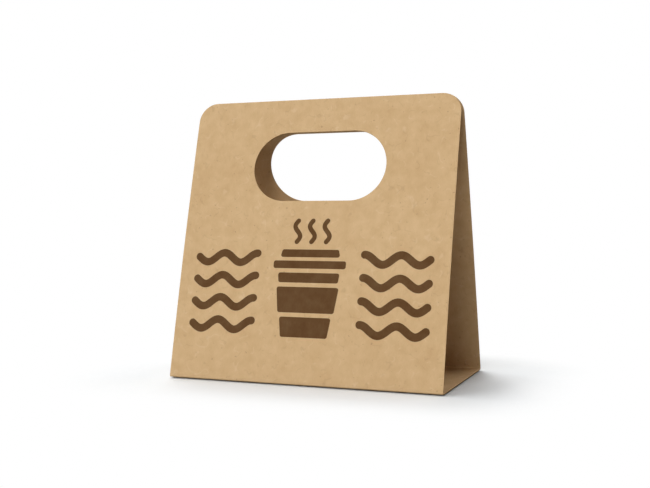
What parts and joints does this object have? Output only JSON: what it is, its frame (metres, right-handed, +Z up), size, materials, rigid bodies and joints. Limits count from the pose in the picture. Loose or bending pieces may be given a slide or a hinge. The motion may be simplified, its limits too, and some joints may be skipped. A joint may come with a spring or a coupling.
{
  "type": "cardboard cup carrier",
  "caption": "Takeaway cup carrier folded from one sheet of kraft board: flat floor with round cup holes and leaning panels with rounded corners and oblong hand holes.",
  "frame": {"origin": "middle of the floor panel's underside, on the surface that the carrier stands on", "axes": "+X along the two creases to the right seen from the front, +Y from the front panel to the back panel, +Z up"},
  "size_m": [0.2, 0.105, 0.1982],
  "materials": {
    "kraft_board": "uncoated brown kraft board, matt, with a dark brown print on the outside of both panels"
  },
  "bodies": {
    "root": {"carrier_sheet": "kraft_board"}
  },
  "joints": []
}
